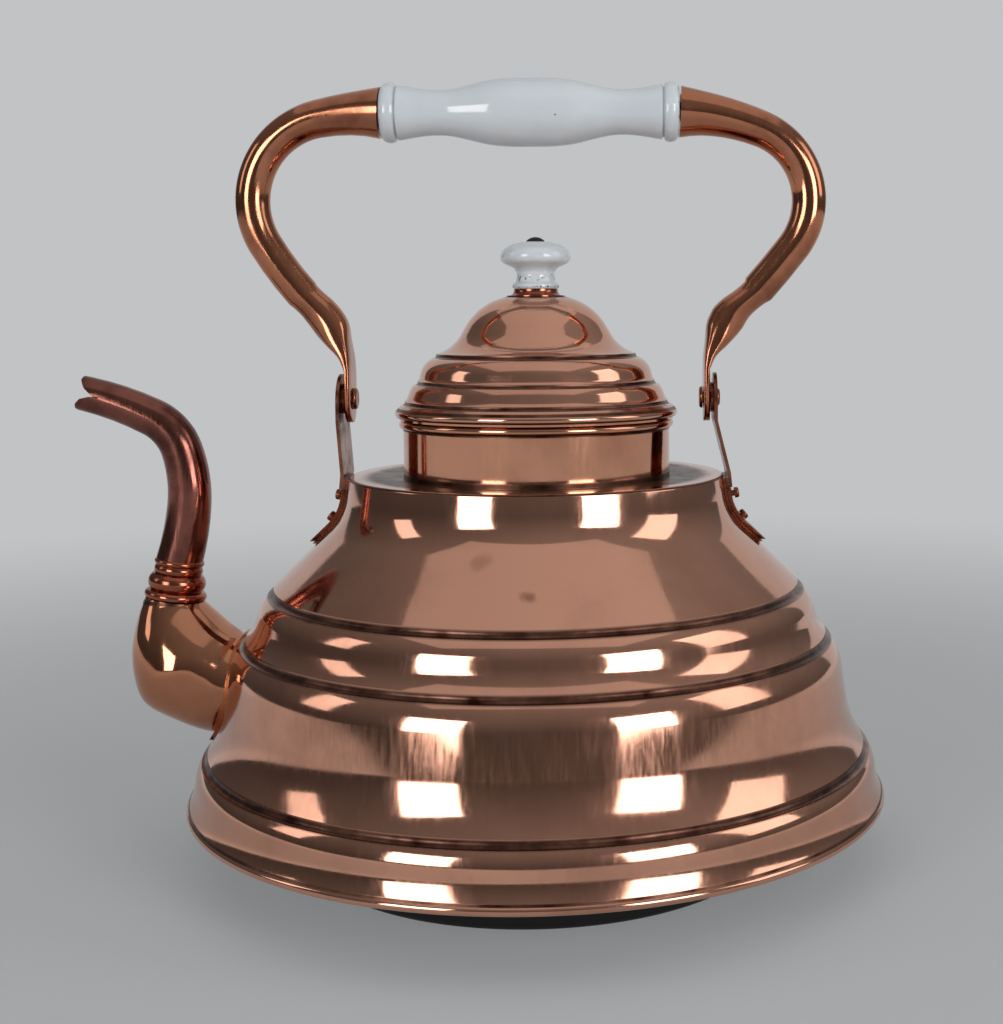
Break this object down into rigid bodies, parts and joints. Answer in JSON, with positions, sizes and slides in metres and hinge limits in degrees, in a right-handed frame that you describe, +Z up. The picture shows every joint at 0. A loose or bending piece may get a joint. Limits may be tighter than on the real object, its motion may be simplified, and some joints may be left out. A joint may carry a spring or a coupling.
{
  "type": "stove kettle",
  "caption": "Wide stepped copper stove kettle with swan-neck spout, lift-off domed lid with porcelain knob, and swinging tube bail with porcelain grip.",
  "frame": {"origin": "centre of the pan's flat underside, on the kettle's own axis", "axes": "+Z up along the kettle's axis, spout towards -X, the bail swings about an axis along X"},
  "size_m": [0.3545, 0.3002, 0.3342],
  "materials": {
    "copper": "polished copper sheet, mirror bright with dark lines in the grooves",
    "tarnished_copper": "copper darkened purple-brown, half bright",
    "handle_copper": "orange-brown copper tube, bright with fine scratches",
    "rivet_copper": "hammered copper, worn",
    "porcelain": "white glaze, slightly blue",
    "pan_steel": "blackened sheet, dull",
    "iron": "plain iron wire and rod",
    "screw_steel": "darkened steel"
  },
  "bodies": {
    "kettle": {"base_pan": "pan_steel", "body_shell": "copper", "rim_wire": "iron", "neck_collar": "copper", "neck_wire": "iron", "spout_elbow": "copper", "spout_collar": "copper", "spout_ferrule": "copper", "spout_tube": "tarnished_copper", "ear_left": "tarnished_copper", "ear_right": "tarnished_copper", "ear_backing_left": "tarnished_copper", "ear_backing_right": "tarnished_copper", "ear_rivets_upper": "rivet_copper", "ear_rivets_lower": "rivet_copper", "pivot_rivets": "rivet_copper", "pivot_washers": "rivet_copper"},
    "bail": {"bail_arm_left": "handle_copper", "bail_arm_right": "handle_copper", "arm_plug_left": "rivet_copper", "arm_plug_right": "rivet_copper", "grip": "porcelain", "grip_rod": "iron"},
    "lid": {"lid_cover": "copper", "lid_wire": "iron", "lid_plug": "copper", "knob_seat": "copper", "knob": "porcelain", "knob_screw": "screw_steel", "knob_washer": "screw_steel", "knob_nut": "screw_steel"}
  },
  "joints": [
    {"name": "bail_swing", "type": "hinge", "parent": "kettle", "child": "bail", "pos_m": [0, 0, 0.1965], "axis": [1, 0, 0], "range_deg": [-112, 112]},
    {"name": "lid_lift", "type": "slide", "parent": "kettle", "child": "lid", "axis": [0, 0, 1], "range_m": [0, 0.034]}
  ]
}
